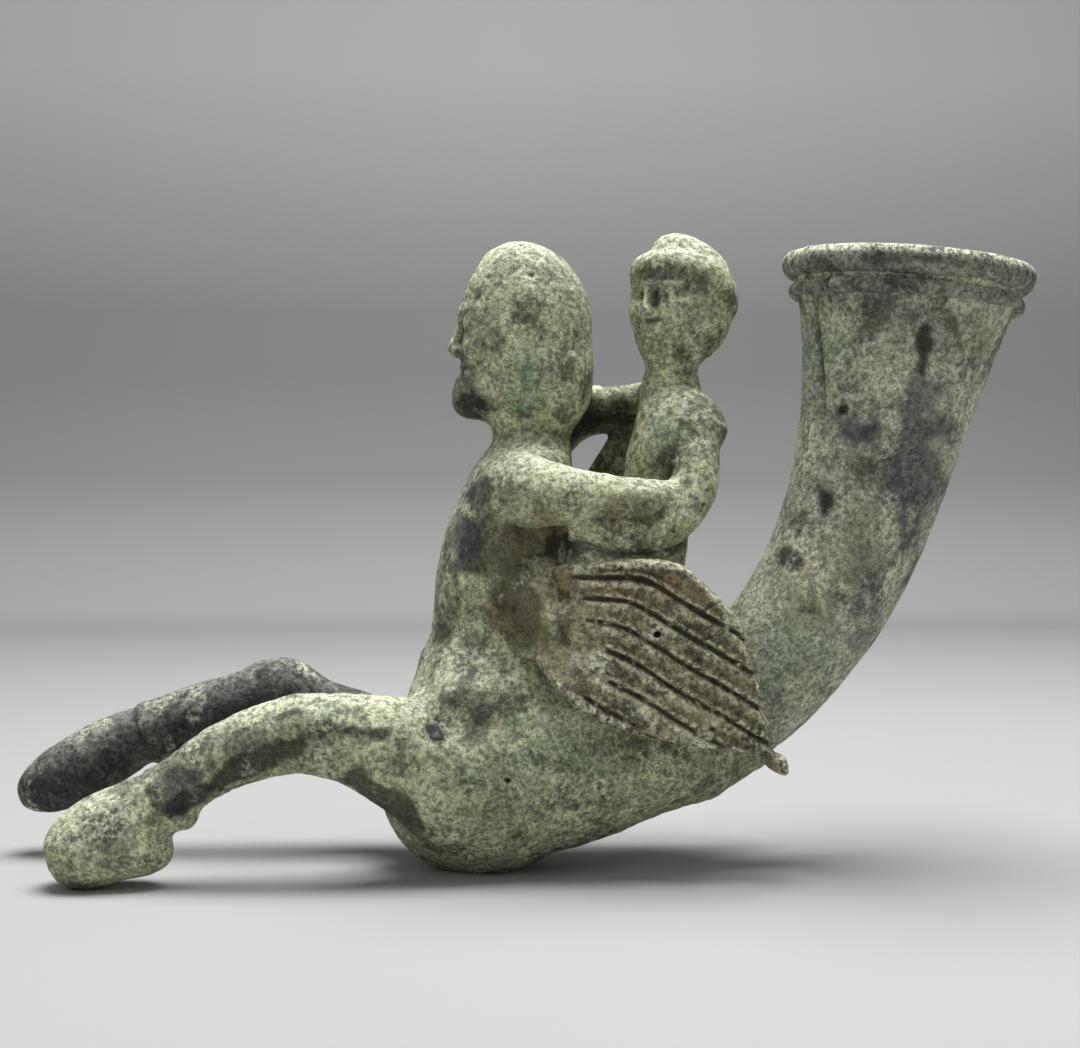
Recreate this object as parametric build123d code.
from build123d import *
import math
import os

# A bronze drinking horn that ends in the forepart of a winged, human-headed horse with a rider.
# Frame: +Z up, floor at Z = 0, -X the way the figure faces, -Y the figure's left side.

# Joints between castings
JOINT_GAP = 0.12
PIN_CLEARANCE = 0.05
TENON_DEPTH = 1.5
FUSE_OVERLAP = 0.3

# Drinking horn
HORN_LENGTH = 139.5
HORN_LEAN_AT_JOINT = 50.5
HORN_LEAN_AT_MOUTH = 5.0
HORN_CURL = 1.57
HORN_JOINT_RADIUS = 19.0
HORN_LIP_RADIUS = 33.6
HORN_FLARE = 2.6
HORN_WALL = 1.3
HORN_STATIONS = 8
SPIGOT_LENGTH = 9.0
JOINT_X = 60.0
JOINT_Z = 50.0

# Mouldings at the mouth
RIM_BEAD_RADIUS = 4.2
RIM_BEAD_RISE = 1.0
COLLAR_WIRE_RADIUS = 2.5
COLLAR_DROP = 8.2
COLLAR_SEAT = 0.8
COLLAR_BUTT_ANGLE = 217.0
COLLAR_BUTT_GAP = 0.6

# Hollow animal body
BODY_WALL = 3.0
CHEST_HALF_WIDTH = 32.0
CHEST_HALF_HEIGHT = 35.4
CHEST_X = -13.0
CHEST_Z = 34.6
FRONT_REACH = 28.0
FLOOR_CUT = 1.5
CHANNEL_RADIUS = 2.2

# Pouring spout in the breast
SPOUT_OUTER_RADIUS = 4.5
SPOUT_BORE_RADIUS = 2.5
SPOUT_Z = 37.0
SPOUT_PROUD = 8.0
SPOUT_SET_IN = 10.0

# Plugs and casting pins through the body wall
PLUG_RADIUS = 2.6
PLUG_X = -27.0
PLUG_Z = 45.0
CORE_PIN_RADIUS = 1.1
CORE_PIN_PLACES = [(15.0, 18.0), (38.0, 26.0), (22.0, 54.0)]

# Human torso of the figure
TORSO_TOP_Z = 129.0
NECK_RADIUS = 11.0
TORSO_TENON_RADIUS = 8.0
NECK_PEG_RADIUS = 5.0
NECK_PEG_LENGTH = 7.0

# Head of the figure
HEAD_HEIGHT = 54.5
HEAD_DEPTH = 37.0
HEAD_WIDTH = 33.0

# Rider
RIDER_X = 41.5
RIDER_NECK_Z = 146.0
RIDER_NECK_RADIUS = 8.0
RIDER_WALL = 2.2
RIDER_FOOT_INSET = 1.0
RIDER_PEG_RADIUS = 3.5
RIDER_PEG_LENGTH = 6.0
RIDER_HEAD_HEIGHT = 40.0
RIDER_HEAD_DEPTH = 30.0
RIDER_HEAD_WIDTH = 26.0

# Arms
SHOULDER_PEG_RADIUS = 4.0
SHOULDER_PEG_REACH = 9.0
RIDER_SHOULDER_PEG_RADIUS = 2.5
RIDER_SHOULDER_PEG_REACH = 6.0

# Forelegs
LEG_Y = 24.5
LEG_TENON_RADIUS = 6.0
HOOF_PEG_RADIUS = 4.0
HOOF_PEG_LENGTH = 7.0

# Wings
WING_THICKNESS = 4.2
WING_ROOT_Y = 25.5
WING_MIDDLE_Y = 33.5
WING_TIP_Y = 28.5
FEATHER_COUNT = 9
GROOVE_WIDTH = 1.7
GROOVE_DEPTH = 1.5
WING_PEG_RADIUS = 1.8
WING_PEG_PLACES = [(13.0, 56.5), (30.0, 48.0), (48.0, 46.0)]

LEFT = -1
RIGHT = 1
ACROSS = Vector(0, 1, 0)


# Shared forms
def section(centre, along, half_side, half_up):
    """An ellipse square to a direction, with its first half axis across the figure."""
    plane = Plane(origin=centre, x_dir=ACROSS, z_dir=along)
    return (plane * Ellipse(half_side, half_up)).face().outer_wire()


def limb(stations, grow=0.0, first_way=None, pull_first=True):
    """A solid through stations of (point, half across, half up), larger all round by grow."""
    points = [Vector(*point) for point, _, _ in stations]
    wires = []
    for place, (_, half_side, half_up) in enumerate(stations):
        before = points[max(place - 1, 0)]
        after = points[min(place + 1, len(points) - 1)]
        along = (after - before).normalized()
        centre = points[place]
        if place == 0:
            along = first_way or along
            centre = centre - along * grow if pull_first else centre
        if place == len(points) - 1:
            centre = centre + along * grow
        wires.append(section(centre, along, half_side + grow, half_up + grow))
    return Solid.make_loft(wires)


def stack(stations, grow=0.0):
    """A solid through level ellipses of (x, y, z, half depth, half width), larger by grow."""
    wires = []
    for place, (x, y, z, half_depth, half_width) in enumerate(stations):
        level = z
        if place == 0:
            level = z - grow
        if place == len(stations) - 1:
            level = z + grow
        plane = Plane(origin=(x, y, level))
        wires.append((plane * Ellipse(half_depth + grow, half_width + grow)).face().outer_wire())
    return Solid.make_loft(wires)


def rod(start, end, radius):
    """A round bar from one point to another."""
    first = Vector(*start)
    way = Vector(*end) - first
    return Solid.make_cylinder(radius, way.length, Plane(origin=first, z_dir=way.normalized()))


def largest(shape):
    """The main solid of a cut, without slivers."""
    return max(shape.solids(), key=lambda piece: piece.volume)


# Drinking horn
def horn_lean(share):
    """The centreline's lean from upright, in degrees, from the joint at 0 to the lip at 1."""
    swing = HORN_LEAN_AT_JOINT - HORN_LEAN_AT_MOUTH
    return HORN_LEAN_AT_MOUTH + swing * (1 - share) ** HORN_CURL


def horn_way(share):
    """The centreline's direction, up the horn."""
    lean = math.radians(horn_lean(share))
    return Vector(math.sin(lean), 0, math.cos(lean))


def horn_point(share, steps=60):
    """A point on the centreline, summed along the lean."""
    point = Vector(JOINT_X, 0, JOINT_Z)
    for step in range(steps):
        point = point + horn_way(share * (step + 0.5) / steps) * (HORN_LENGTH * share / steps)
    return point


def horn_radius(share):
    """The outer radius, which flares towards the lip."""
    return HORN_JOINT_RADIUS + (HORN_LIP_RADIUS - HORN_JOINT_RADIUS) * max(share, 0) ** HORN_FLARE


def horn_form(grow=0.0):
    """The horn's solid outer form, with ends square to its centreline."""
    wires = []
    for place in range(HORN_STATIONS):
        share = place / (HORN_STATIONS - 1)
        radius = horn_radius(share) + grow
        wires.append(section(horn_point(share), horn_way(share), radius, radius))
    return Solid.make_loft(wires)


def spigot_radius():
    """The outside of the horn's spigot, which slides into the body's rear opening."""
    return HORN_JOINT_RADIUS - BODY_WALL - JOINT_GAP


def horn():
    """The drinking horn: a thin wall, open at the mouth, with a spigot at its lower end."""
    way = horn_way(0)
    seat = horn_point(0)
    bore = spigot_radius() - HORN_WALL
    wall = horn_form() - horn_form(-HORN_WALL)
    step = rod(seat, seat + way * HORN_WALL, HORN_JOINT_RADIUS - FUSE_OVERLAP)
    foot = rod(seat + way * HORN_WALL, seat - way * SPIGOT_LENGTH, spigot_radius())
    passage = rod(seat - way * (SPIGOT_LENGTH + 1), seat + way * (HORN_WALL + 1), bore)
    gap = rod(seat - way, seat + way * JOINT_GAP, HORN_JOINT_RADIUS * 2)
    gap = gap - rod(seat - way * 2, seat + way, spigot_radius())
    return largest(wall + step + foot - passage - gap)


def mouth_plane(share):
    """The plane square to the centreline, from which mouldings are turned."""
    way = horn_way(share)
    return Plane(origin=horn_point(share), x_dir=Vector(way.Z, 0, -way.X), z_dir=way)


def wall_profile(share, reach, top, outer_gap, inner):
    """The horn wall's cut face near a station: from the outside, grown by a gap, in to a radius."""
    slope = (horn_radius(share) - horn_radius(share - reach / HORN_LENGTH)) / reach
    outer = horn_radius(share) + outer_gap
    return make_face(Polyline(
        (outer + slope * top, top), (outer - slope * reach, -reach), (inner - slope * reach, -reach),
        (inner + slope * top, top), close=True
    ))


def rim_bead():
    """The rounded bead that caps the lip, with the lip let into its underside."""
    inner = horn_radius(1) - HORN_WALL - JOINT_GAP
    slot = wall_profile(1, RIM_BEAD_RADIUS * 2, JOINT_GAP, JOINT_GAP, inner)
    bead = Pos(horn_radius(1) - HORN_WALL / 2, RIM_BEAD_RISE) * Circle(RIM_BEAD_RADIUS)
    turned = revolve(Plane.XZ * (bead - slot), Axis.Z)
    return largest(mouth_plane(1) * turned)


def collar_hoop():
    """The wire hoop below the bead, bent round the horn with its ends butted."""
    share = 1 - COLLAR_DROP / HORN_LENGTH
    radius = horn_radius(share) + COLLAR_WIRE_RADIUS - COLLAR_SEAT
    reach = COLLAR_WIRE_RADIUS * 2
    seat = wall_profile(share, reach, reach, JOINT_GAP, horn_radius(share) - reach)
    wire = Pos(radius, 0) * Circle(COLLAR_WIRE_RADIUS)
    butt = math.degrees(COLLAR_BUTT_GAP / radius)
    turned = revolve(Plane.XZ * (wire - seat), Axis.Z, 360 - butt)
    turned = Rot(0, 0, COLLAR_BUTT_ANGLE) * turned
    return largest(mouth_plane(share) * turned)


# Hollow body
def body_stations():
    """The body's stations, from the horn's joint to the front of the breast."""
    return [
        ((JOINT_X, 0, JOINT_Z), HORN_JOINT_RADIUS, HORN_JOINT_RADIUS),
        ((45, 0, 41.6), 22.8, 23.3),
        ((26, 0, 37.3), 28, 25.8),
        ((7, 0, 35.2), CHEST_HALF_WIDTH - 1, 32.4),
        ((CHEST_X, 0, CHEST_Z), CHEST_HALF_WIDTH, CHEST_HALF_HEIGHT),
        ((CHEST_X - FRONT_REACH * 0.54, 0, CHEST_Z), CHEST_HALF_WIDTH - 3.5, CHEST_HALF_HEIGHT - 3.5),
        ((CHEST_X - FRONT_REACH * 0.86, 0, CHEST_Z + 1), CHEST_HALF_WIDTH - 11, CHEST_HALF_HEIGHT - 13),
        ((CHEST_X - FRONT_REACH, 0, CHEST_Z + 2), 9, 9),
    ]


def body_form(grow=0.0):
    """The body's solid outer form."""
    return limb(body_stations(), grow, -horn_way(0), pull_first=False)


def body_cavity():
    """The space for the drink inside the body, open to the horn and closed by the solid breast."""
    return limb(body_stations()[:4], -BODY_WALL, -horn_way(0), pull_first=False)


def body_skin(depth=TENON_DEPTH, proud=JOINT_GAP + FUSE_OVERLAP):
    """The outer layer of the body that tenons sit in."""
    return body_form(proud) - body_form(-depth)


def below_floor():
    """The half space under the floor that the keel and the lower hoof stand on."""
    return Pos(0, 0, FLOOR_CUT - 50) * Box(400, 400, 100)


def body_shell(sockets, holes):
    """The hollow casting, with blind sockets for tenons and holes for pins, flat at the keel."""
    shell = body_form() - body_cavity()
    layer = body_skin(TENON_DEPTH + PIN_CLEARANCE)
    for bar in sockets:
        shell = shell - (bar & layer)
    for bar in holes:
        shell = shell - bar
    return largest(shell - below_floor())


# Human torso and head of the figure
def torso_form(grow=0.0):
    """The torso's solid form, from inside the body to the neck."""
    return stack([
        (-10, 0, 46, 23, 25),
        (-9.5, 0, 62, 21.5, 25),
        (-8, 0, 78, 19.8, 22.5),
        (-7, 0, 92, 19.6, 22.5),
        (-5, 0, 104, 18.2, 25),
        (-3, 0, TORSO_TOP_Z - 14.5, 15.8, 25.5),
        (-0.8, 0, TORSO_TOP_Z - 7, NECK_RADIUS + 2, NECK_RADIUS + 7.5),
        (0.2, 0, TORSO_TOP_Z, NECK_RADIUS, NECK_RADIUS),
    ], grow)


def torso_tenon(extra=0.0):
    """The bar that the torso's tenon is cut from."""
    return rod((-8, 0, CHEST_Z), (-8, 0, TORSO_TOP_Z - 30), TORSO_TENON_RADIUS + extra)


def neck_peg(extra=0.0):
    """The peg under the head."""
    length = NECK_PEG_LENGTH + extra
    return rod((0.2, 0, TORSO_TOP_Z - length), (0.2, 0, TORSO_TOP_Z + FUSE_OVERLAP), NECK_PEG_RADIUS + extra)


def torso():
    """The torso casting, seated on the body's back by a tenon."""
    piece = torso_form() - body_form(JOINT_GAP)
    piece = largest(piece) + (torso_tenon() & body_skin())
    piece = piece - neck_peg(PIN_CLEARANCE)
    for side in (LEFT, RIGHT):
        piece = piece - shoulder_peg(side, PIN_CLEARANCE)
    return largest(piece)


def head_form(grow=0.0):
    """The head with its hair, from the neck joint to the crown."""
    deep = HEAD_DEPTH / 2
    wide = HEAD_WIDTH / 2
    base = TORSO_TOP_Z
    tall = HEAD_HEIGHT
    return stack([
        (0.2, 0, base, NECK_RADIUS, NECK_RADIUS),
        (-0.5, 0, base + tall * 0.10, deep * 0.78, wide * 0.76),
        (-1.5, 0, base + tall * 0.22, deep * 0.97, wide * 0.94),
        (-1.2, 0, base + tall * 0.38, deep, wide),
        (-1.0, 0, base + tall * 0.56, deep * 0.99, wide),
        (-1.5, 0, base + tall * 0.74, deep * 0.92, wide * 0.96),
        (-2.0, 0, base + tall * 0.88, deep * 0.70, wide * 0.76),
        (-2.5, 0, base + tall * 0.97, deep * 0.37, wide * 0.42),
        (-2.5, 0, base + tall, deep * 0.12, wide * 0.14),
    ], grow)


def head():
    """The head casting, flat at the neck, with a peg."""
    cap = rod((0.2, 0, TORSO_TOP_Z - 1), (0.2, 0, TORSO_TOP_Z + JOINT_GAP), NECK_RADIUS * 2)
    return largest(head_form() - cap + neck_peg())


# Rider
def rider_stations():
    """The rider's body in a plain dress, from the animal's back to the neck."""
    x = RIDER_X
    z = RIDER_NECK_Z
    return [
        (x - 11.5, 0, z - 88, 12.5, 14.5),
        (x - 10.5, 0, z - 72, 13, 15),
        (x - 8, 0, z - 56, 12.3, 14.5),
        (x - 4.7, 0, z - 42, 11.2, 13),
        (x - 1.5, 0, z - 30, 12, 15),
        (x + 0.5, 0, z - 19, 12, 17),
        (x + 1.1, 0, z - 11.5, 10.3, 15),
        (x + 0.3, 0, z - 5, RIDER_NECK_RADIUS + 0.8, RIDER_NECK_RADIUS + 1.5),
        (x, 0, z, RIDER_NECK_RADIUS, RIDER_NECK_RADIUS),
    ]


def rider_form(grow=0.0):
    """The rider's solid outer form."""
    return stack(rider_stations(), grow)


def rider_foot(extra=0.0):
    """The rider's lower end, let into the animal's back."""
    return rider_form(extra - RIDER_FOOT_INSET)


def rider_hollow():
    """The space inside the rider, open below."""
    return stack(rider_stations()[:6], -RIDER_WALL)


def rider_neck_peg(extra=0.0):
    """The peg under the rider's head."""
    length = RIDER_PEG_LENGTH + extra
    top = RIDER_NECK_Z + FUSE_OVERLAP
    return rod((RIDER_X, 0, RIDER_NECK_Z - length), (RIDER_X, 0, top), RIDER_PEG_RADIUS + extra)


def rider_body():
    """The rider's hollow casting, let into the animal's back."""
    piece = largest(rider_form() - body_form(JOINT_GAP)) + (rider_foot() & body_skin())
    piece = piece - rider_hollow() - rider_neck_peg(PIN_CLEARANCE)
    for side in (LEFT, RIGHT):
        piece = piece - rider_shoulder_peg(side, PIN_CLEARANCE)
    return largest(piece)


def rider_head_form(grow=0.0):
    """The rider's head with its rolled hair."""
    deep = RIDER_HEAD_DEPTH / 2
    wide = RIDER_HEAD_WIDTH / 2
    base = RIDER_NECK_Z
    tall = RIDER_HEAD_HEIGHT
    x = RIDER_X
    return stack([
        (x, 0, base, RIDER_NECK_RADIUS, RIDER_NECK_RADIUS),
        (x + 1.5, 0, base + tall * 0.15, deep * 0.70, wide * 0.76),
        (x + 3, 0, base + tall * 0.32, deep * 0.93, wide * 0.93),
        (x + 3.5, 0, base + tall * 0.52, deep, wide),
        (x + 4, 0, base + tall * 0.72, deep * 0.95, wide * 0.97),
        (x + 4.5, 0, base + tall * 0.87, deep * 0.72, wide * 0.77),
        (x + 4.5, 0, base + tall * 0.965, deep * 0.40, wide * 0.43),
        (x + 4.5, 0, base + tall, deep * 0.13, wide * 0.15),
    ], grow)


def rider_head():
    """The rider's head, flat at the neck, with a peg."""
    cap = rod((RIDER_X, 0, RIDER_NECK_Z - 1), (RIDER_X, 0, RIDER_NECK_Z + JOINT_GAP), RIDER_NECK_RADIUS * 2)
    return largest(rider_head_form() - cap + rider_neck_peg())


# Arms
def arm_form(side, grow=0.0):
    """The figure's arm: the left one reaches back and level, the right one up behind the rider."""
    if side == LEFT:
        return limb([
            ((-5, -19, 113), 9, 9.5),
            ((7, -26, 110.5), 8.4, 8.6),
            ((20, -27.5, 109.5), 7, 6.6),
            ((31, -25.5, 109.5), 6.3, 5.6),
            ((40, -22, 110.5), 4.6, 3.8),
        ], grow)
    return limb([
        ((-3, 19, 114), 8.5, 9),
        ((5, 24.5, 125), 8.3, 8.3),
        ((14, 25, 134), 7.5, 7.6),
        ((25, 21, 136.5), 6.6, 6.8),
        ((35, 15.5, 135), 4.8, 4.6),
    ], grow)


def shoulder_peg(side, extra=0.0):
    """The peg that holds an arm in the torso."""
    x = -3
    z = TORSO_TOP_Z - 15.5
    inner = 25.5 - SHOULDER_PEG_REACH - extra
    return rod((x, side * inner, z), (x, side * 26, z), SHOULDER_PEG_RADIUS + extra)


def arm(side):
    """An arm casting, cut to the torso, the head and the rider."""
    piece = arm_form(side) - torso_form(JOINT_GAP) - head_form(JOINT_GAP)
    piece = largest(piece - rider_form(JOINT_GAP) - rider_head_form(JOINT_GAP))
    return largest(piece + (shoulder_peg(side) & arm_form(side)))


def rider_arm_form(side, grow=0.0):
    """The rider's arm: the left one bends at the elbow, the right one reaches down and forward."""
    if side == LEFT:
        return limb([
            ((49, -13, 130), 6.5, 6.8),
            ((47, -18.5, 118), 6.4, 6.4),
            ((42.3, -21.5, 106.3), 6.4, 6.4),
            ((33, -23.8, 100.2), 6.2, 6),
            ((21.5, -25.5, 100.2), 5.6, 5.3),
            ((10, -26, 101.5), 4.6, 4.2),
        ], grow)
    return limb([
        ((46, 12, 129.5), 6.5, 6.8),
        ((32.5, 18.5, 125), 6.6, 7.6),
        ((26, 22.5, 115.5), 6.4, 7.2),
        ((18, 25, 106.5), 5.4, 5.6),
        ((9, 26, 102), 4.4, 4.4),
    ], grow)


def rider_shoulder_peg(side, extra=0.0):
    """The peg that holds a rider's arm in the rider's body."""
    inner = 13.5 - RIDER_SHOULDER_PEG_REACH - extra
    x = RIDER_X + 5
    z = RIDER_NECK_Z - 19.5
    return rod((x, side * inner, z), (x, side * 17, z), RIDER_SHOULDER_PEG_RADIUS + extra)


def rider_arm(side):
    """A rider's arm casting, cut to its neighbours."""
    piece = rider_arm_form(side) - rider_form(JOINT_GAP) - arm_form(side, JOINT_GAP)
    piece = largest(piece - torso_form(JOINT_GAP))
    return largest(piece + (rider_shoulder_peg(side) & rider_arm_form(side)))


# Forelegs
def leg_stations(side):
    """The foreleg's stations from inside the body to the tip of the hoof."""
    y = side * LEG_Y
    if side == LEFT:
        return [
            ((-18, y + 5, 33), 13.5, 19),
            ((-36, y + 1.5, 36.5), 12.3, 15.5),
            ((-52, y, 42), 11, 12.4),
            ((-66, y, 41.5), 9.4, 10.2),
            ((-80, y, 38.5), 8.6, 9.3),
            ((-93, y, 32.5), 8, 8.5),
            ((-104.5, y, 25), 8, 8.8),
            ((-113, y, 19.6), 10.6, 11.2),
            ((-121.5, y, 14.2), 11.8, 12.3),
            ((-129, y, 10.8), 10.6, 10.2),
            ((-134, y, 8.8), 6, 5.5),
        ]
    return [
        ((-18, y - 5, 33), 13.5, 19),
        ((-38, y - 1.5, 34.5), 12.3, 14),
        ((-55, y, 41.5), 11, 11.8),
        ((-71, y, 47), 10, 11.2),
        ((-87, y, 46), 9.3, 10),
        ((-102, y, 42.6), 8.6, 9.4),
        ((-116, y, 38), 8.4, 9),
        ((-125, y, 33.5), 9.5, 9.8),
        ((-134, y, 28.2), 10, 10.2),
        ((-143, y, 23.4), 9.3, 9.2),
        ((-150, y, 20), 6.5, 6.2),
        ((-153, y, 18.6), 3.5, 3.2),
    ]


def leg_form(side, grow=0.0):
    """The whole foreleg with its hoof."""
    return limb(leg_stations(side), grow)


def fetlock(side):
    """The plane of the joint between leg and hoof, facing the hoof."""
    stations = leg_stations(side)
    way = Vector(*stations[7][0]) - Vector(*stations[5][0])
    return Plane(origin=stations[6][0], x_dir=ACROSS, z_dir=way.normalized())


def beyond(plane, shift):
    """The half space on the far side of a plane."""
    return plane * Pos(0, 0, 100 + shift) * Box(200, 200, 200)


def hoof_peg(side, extra=0.0):
    """The peg on the hoof that enters the leg."""
    start = fetlock(side) * Pos(0, 0, -HOOF_PEG_LENGTH - extra)
    length = HOOF_PEG_LENGTH + extra + FUSE_OVERLAP
    bar = Solid.make_cylinder(HOOF_PEG_RADIUS + extra, length)
    return start * bar


def leg_tenon(side, extra=0.0):
    """The bar that the leg's tenon is cut from."""
    stations = leg_stations(side)
    return rod(stations[0][0], stations[2][0], LEG_TENON_RADIUS + extra)


def leg_pin_bar(side, extra=0.0):
    """The bar that the leg's locking pin is cut from."""
    return rod((PLUG_X, 0, PLUG_Z), (PLUG_X, side * CHEST_HALF_WIDTH * 2, PLUG_Z), PLUG_RADIUS + extra)


def leg(side):
    """A foreleg casting from the breast to the fetlock."""
    piece = leg_form(side) - body_form(JOINT_GAP) - torso_form(JOINT_GAP)
    piece = largest(largest(piece) - beyond(fetlock(side), 0))
    piece = piece + (leg_tenon(side) & body_skin())
    piece = piece - hoof_peg(side, PIN_CLEARANCE) - leg_pin_bar(side, PIN_CLEARANCE)
    return largest(piece)


def leg_pin(side):
    """The locking pin, flush with the leg's shoulder, let into the body wall."""
    bar = leg_pin_bar(side) & leg_form(side)
    return largest(bar - body_form(-TENON_DEPTH))


def hoof(side):
    """A hoof casting with its peg, flat where it meets the floor."""
    piece = leg_form(side) & beyond(fetlock(side), JOINT_GAP)
    return largest(largest(piece) + hoof_peg(side) - below_floor())


# Wings
def wing_cylinder(inset):
    """The upright cylinder whose surface the wing's outer face follows."""
    first = Vector(0, -WING_ROOT_Y)
    second = Vector(35, -WING_MIDDLE_Y)
    third = Vector(68, -WING_TIP_Y)
    arc = ThreePointArc(first, second, third)
    centre = arc.arc_center
    return Solid.make_cylinder(arc.radius - inset, 200, Plane(origin=(centre.X, centre.Y, -20)))


def wing_outline():
    """The wing seen from the side: root, leading edge, trailing edge and underside."""
    root_top = (6, 87)
    wrist = (55.5, 80)
    tip = (69.5, 32.5)
    root_low = (0, 66)
    edges = Curve() + [
        ThreePointArc(root_top, (31, 93.2), wrist),
        ThreePointArc(wrist, (61.5, 61), tip),
        ThreePointArc(tip, (30, 42), root_low),
        ThreePointArc(root_low, (1.5, 77), root_top),
    ]
    return make_face(edges)


def feather_line(place):
    """The furrow between one feather and the next, bowed upwards."""
    share = place / FEATHER_COUNT
    start = Vector(9 - 5 * share, 91 - 33 * share)
    end = Vector(60 + 12 * share, 82 - 50 * share)
    middle = (start + end) * 0.5 + Vector(1.5, 4.5 - 2.5 * share)
    return ThreePointArc(start, middle, end)


def through(face):
    """A flat shape, drawn on the wing's side view, carried through the left side."""
    return extrude(Plane.XZ * face, 80)


def wing_peg_bar(place, extra=0.0):
    """The bar that a left wing peg is cut from."""
    x, z = place
    return rod((x, 0, z), (x, -CHEST_HALF_WIDTH * 2, z), WING_PEG_RADIUS + extra)


def left_wing():
    """The left wing: a curved plate with feather furrows and a notched trailing edge."""
    plate = through(wing_outline()) & (wing_cylinder(0) - wing_cylinder(WING_THICKNESS))
    skin = wing_cylinder(0) - wing_cylinder(GROOVE_DEPTH)
    for place in range(1, FEATHER_COUNT):
        line = feather_line(place)
        furrow = through(trace(line, GROOVE_WIDTH)) & skin
        plate = plate - furrow
    plate = plate - body_form(JOINT_GAP) - torso_form(JOINT_GAP) - leg_form(LEFT, JOINT_GAP)
    for place in WING_PEG_PLACES:
        plate = plate - wing_peg_bar(place, PIN_CLEARANCE)
    return largest(plate)


def left_wing_pegs():
    """The pegs that carry the left wing on the body."""
    pegs = []
    for place in WING_PEG_PLACES:
        bar = wing_peg_bar(place) & wing_cylinder(0)
        pegs.append(largest(bar - body_form(-TENON_DEPTH)))
    return pegs


# Spout and casting pins
def spout_bar(radius, inner, outer):
    """A bar along the spout's line."""
    return rod((inner, 0, SPOUT_Z), (outer, 0, SPOUT_Z), radius)


def spout_inner_end():
    """Where the spout's tube stops inside the breast."""
    return CHEST_X - FRONT_REACH + SPOUT_SET_IN


def pour_spout():
    """The pouring tube in the breast."""
    front = CHEST_X - FRONT_REACH
    inner = spout_inner_end()
    tube = spout_bar(SPOUT_OUTER_RADIUS, inner, front - SPOUT_PROUD)
    return largest(tube - spout_bar(SPOUT_BORE_RADIUS, inner + 1, front - SPOUT_PROUD - 1))


def core_pin_bar(place, side, extra=0.0):
    """The bar that a casting pin is cut from."""
    x, z = place
    return rod((x, side * 4, z), (x, side * CHEST_HALF_WIDTH * 2, z), CORE_PIN_RADIUS + extra)


def core_pins():
    """The pins that held the core while the body was cast, flush with its outside."""
    wall = body_form() - body_cavity()
    pins = []
    for side in (LEFT, RIGHT):
        for place in CORE_PIN_PLACES:
            pins.append(largest(core_pin_bar(place, side) & wall))
    return pins


def other_side(shape):
    """The mirror image on the figure's right."""
    return mirror(shape, about=Plane.XZ)


def body_sockets():
    """Every bar that leaves a blind socket in the body."""
    bars = [torso_tenon(PIN_CLEARANCE), rider_foot(PIN_CLEARANCE)]
    for side in (LEFT, RIGHT):
        bars.append(leg_tenon(side, PIN_CLEARANCE))
        bars.append(leg_pin_bar(side, PIN_CLEARANCE))
    for place in WING_PEG_PLACES:
        bar = wing_peg_bar(place, PIN_CLEARANCE)
        bars.extend([bar, other_side(bar)])
    return bars


def body_holes():
    """Every bar that passes right through the body wall."""
    front = CHEST_X - FRONT_REACH
    inner = spout_inner_end()
    bars = [
        spout_bar(SPOUT_OUTER_RADIUS + PIN_CLEARANCE, inner + PIN_CLEARANCE, front - SPOUT_PROUD),
        spout_bar(CHANNEL_RADIUS, CHEST_X + FRONT_REACH, front),
    ]
    for side in (LEFT, RIGHT):
        for place in CORE_PIN_PLACES:
            bars.append(core_pin_bar(place, side, PIN_CLEARANCE))
    return bars


# Assembly
def pieces():
    """Every named piece as its list of solids, in the builder's coordinates."""
    wing = left_wing()
    pegs = left_wing_pegs()
    return {
        "horn": [horn()],
        "rim_bead": [rim_bead()],
        "collar_hoop": [collar_hoop()],
        "body_shell": [body_shell(body_sockets(), body_holes())],
        "pour_spout": [pour_spout()],
        "core_pins": core_pins(),
        "torso": [torso()],
        "head": [head()],
        "left_arm": [arm(LEFT)],
        "right_arm": [arm(RIGHT)],
        "rider_body": [rider_body()],
        "rider_head": [rider_head()],
        "rider_left_arm": [rider_arm(LEFT)],
        "rider_right_arm": [rider_arm(RIGHT)],
        "left_foreleg": [leg(LEFT)],
        "right_foreleg": [leg(RIGHT)],
        "left_hoof": [hoof(LEFT)],
        "right_hoof": [hoof(RIGHT)],
        "left_leg_pin": [leg_pin(LEFT)],
        "right_leg_pin": [leg_pin(RIGHT)],
        "left_wing": [wing],
        "right_wing": [largest(other_side(wing))],
        "left_wing_pegs": pegs,
        "right_wing_pegs": [largest(other_side(peg)) for peg in pegs],
    }


def reach(built, axis):
    """The lowest and highest reach of all pieces along X (0) or Y (1)."""
    values = []
    for solids in built.values():
        for solid in solids:
            points, _ = solid.tessellate(0.1)
            values.extend(tuple(point)[axis] for point in points)
    return min(values), max(values)


def main():
    """Centre the pieces on the frame and write them out."""
    built = pieces()
    low_x, high_x = reach(built, 0)
    low_y, high_y = reach(built, 1)
    move = Pos(-(low_x + high_x) / 2, -(low_y + high_y) / 2, -FLOOR_CUT)
    os.makedirs("parts", exist_ok=True)
    for name, solids in built.items():
        moved = [move * solid for solid in solids]
        shape = moved[0] if len(moved) == 1 else Compound(children=moved)
        export_step(shape, f"parts/{name}.step")


if __name__ == "__main__":
    main()
